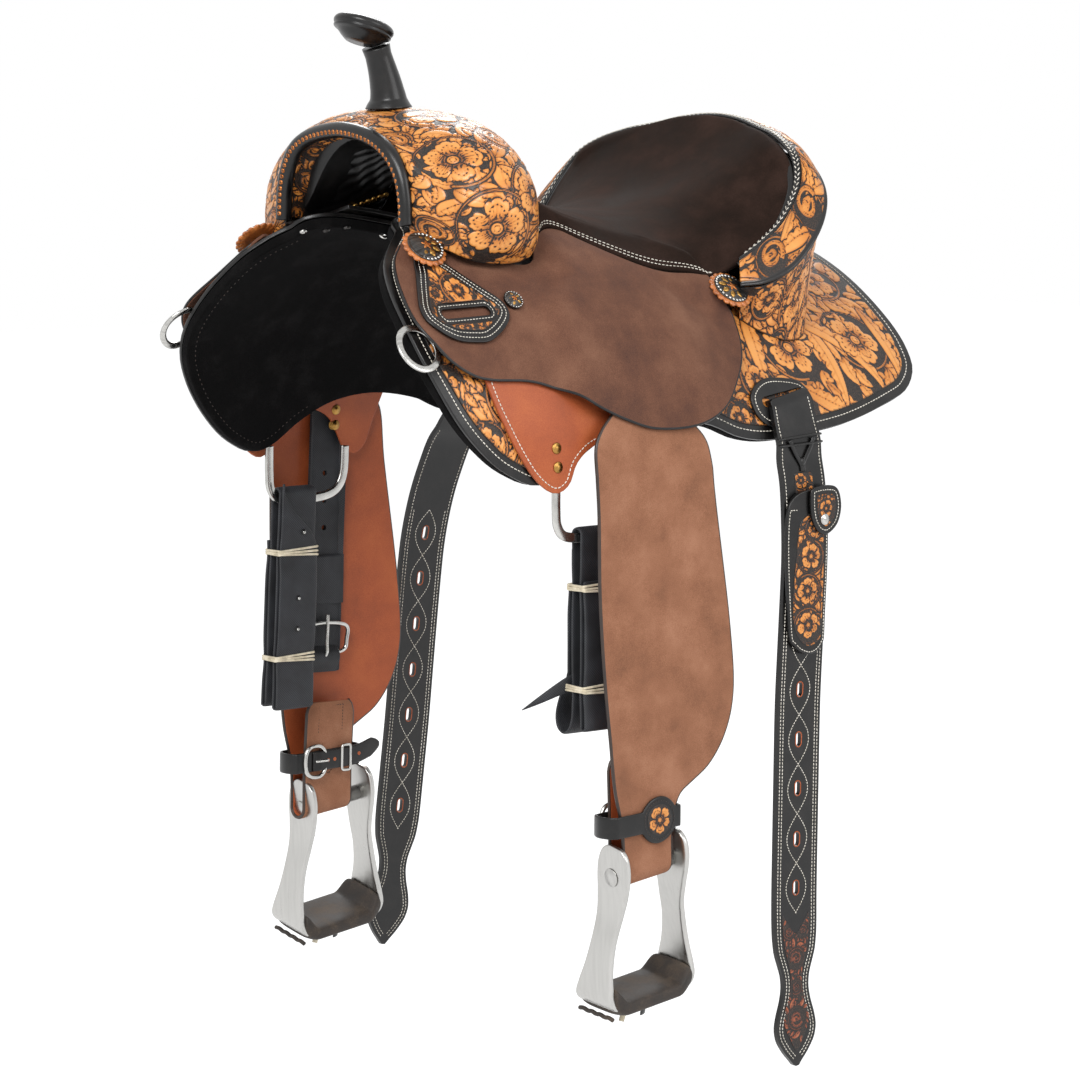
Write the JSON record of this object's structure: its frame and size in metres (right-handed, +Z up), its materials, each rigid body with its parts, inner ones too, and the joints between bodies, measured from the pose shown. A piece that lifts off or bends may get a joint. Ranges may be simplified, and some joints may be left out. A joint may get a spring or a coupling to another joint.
{
  "type": "barrel racing saddle",
  "caption": "Western barrel racing saddle with deep padded seat, short round tooled skirts, swell and horn, swinging fenders with aluminium stirrups, rigging rings and flank billets",
  "frame": {"origin": "middle of the saddle where the horse's back carries it", "axes": "+Z up, -Y toward the horn, +X near (left) side"},
  "size_m": [0.5508, 0.6129, 0.9848],
  "materials": {
    "skirt": "tooled and antiqued",
    "skirt_lining": "felt",
    "jockey": "rough side out",
    "plate": "smooth oiled",
    "keeper": "black edged, tooled centre",
    "swell": "tooled and antiqued",
    "black_leather": "semi gloss",
    "seat_suede": "suede",
    "seat_base": "raw",
    "tree": "covered wood",
    "stainless": "satin",
    "concho": "engraved, on a leather rosette",
    "aluminium": "brushed",
    "tread": "leather wrapped",
    "nylon": "doubled strap",
    "billet": "black, stitched",
    "sheath": "tooled",
    "fender": "rough side out"
  },
  "bodies": {
    "saddle": {"skirt_near": "skirt", "skirt_off": "skirt", "skirt_lining_near": "skirt_lining", "skirt_lining_off": "skirt_lining", "tree_bar_near": "tree", "tree_bar_off": "tree", "rigging_plate_near": "plate", "rigging_plate_off": "plate", "seat_jockey_near": "jockey", "seat_jockey_off": "jockey", "latigo_keeper_near": "keeper", "latigo_keeper_off": "keeper", "billet_slot_plate_near": "black_leather", "billet_slot_plate_off": "black_leather", "front_concho_near": "concho", "front_concho_off": "concho", "rear_concho_near": "concho", "rear_concho_off": "concho", "spot_concho_near": "stainless", "spot_concho_off": "stainless", "breast_dee_near": "stainless", "breast_dee_off": "stainless", "rigging_ring_near": "stainless", "rigging_ring_off": "stainless", "swell_cover": "swell", "tree_fork": "tree", "gullet_lining": "black_leather", "gullet_binding": "black_leather", "horn_neck": "black_leather", "horn_cap": "black_leather", "seat_pad": "seat_suede", "ground_seat": "seat_base", "tree_cantle": "tree", "cantle_back": "skirt", "cantle_roll": "swell", "cantle_binding": "black_leather"},
    "leg_near": {"fender_near": "fender", "stirrup_leather_near": "black_leather", "leather_buckle_near": "stainless", "hobble_strap_near": "black_leather", "stirrup_bolt_near": "stainless"},
    "leg_off": {"fender_off": "fender", "stirrup_leather_off": "black_leather", "leather_buckle_off": "stainless", "hobble_strap_off": "black_leather", "stirrup_bolt_off": "stainless"},
    "foot_near": {"stirrup_near": "aluminium", "tread_pad_near": "tread"},
    "foot_off": {"stirrup_off": "aluminium", "tread_pad_off": "tread"},
    "latigo_near": {"latigo_bundle_near": "nylon"},
    "billet_bundle_off": {"off_billet_bundle_off": "nylon"},
    "flank_billet_near": {"rear_billet_near": "billet", "billet_sheath_near": "sheath"},
    "flank_billet_off": {"rear_billet_off": "billet"},
    "sheath_flap": {"sheath_flap_near": "sheath"}
  },
  "joints": [
    {"name": "leg_near_swing", "type": "hinge", "parent": "saddle", "child": "leg_near", "pos_m": [0.23, -0.0495, -0.115], "axis": [1, 0, 0], "range_deg": [-3, 8]},
    {"name": "leg_off_swing", "type": "hinge", "parent": "saddle", "child": "leg_off", "pos_m": [-0.23, -0.058, -0.115], "axis": [1, 0, 0], "range_deg": [-2, 3]},
    {"name": "foot_near_turn", "type": "hinge", "parent": "leg_near", "child": "foot_near", "pos_m": [0.2332, -0.0581, -0.566], "axis": [0, 0.9912, 0.1323], "range_deg": [-45, 30]},
    {"name": "foot_off_turn", "type": "hinge", "parent": "leg_off", "child": "foot_off", "pos_m": [-0.2332, -0.0676, -0.5657], "axis": [0, 0.9938, 0.1115], "range_deg": [-30, 40]},
    {"name": "latigo_near_swing", "type": "hinge", "parent": "saddle", "child": "latigo_near", "pos_m": [0.2143, -0.097, -0.259], "axis": [0, 1, 0], "range_deg": [0, 18]},
    {"name": "billet_bundle_off_swing", "type": "hinge", "parent": "saddle", "child": "billet_bundle_off", "pos_m": [-0.2143, -0.118, -0.256], "axis": [0, 1, 0], "range_deg": [-12, 0]},
    {"name": "flank_billet_near_swing", "type": "hinge", "parent": "saddle", "child": "flank_billet_near", "pos_m": [0.221, 0.128, -0.149], "axis": [0, 1, 0], "range_deg": [-18, 0]},
    {"name": "flank_billet_off_swing", "type": "hinge", "parent": "saddle", "child": "flank_billet_off", "pos_m": [-0.221, 0.128, -0.149], "axis": [0, 1, 0], "range_deg": [0, 20]},
    {"name": "sheath_flap_lift", "type": "hinge", "parent": "flank_billet_near", "child": "sheath_flap", "pos_m": [0.2505, 0.153, -0.2315], "axis": [0, 1, 0], "range_deg": [-90, 0]}
  ]
}
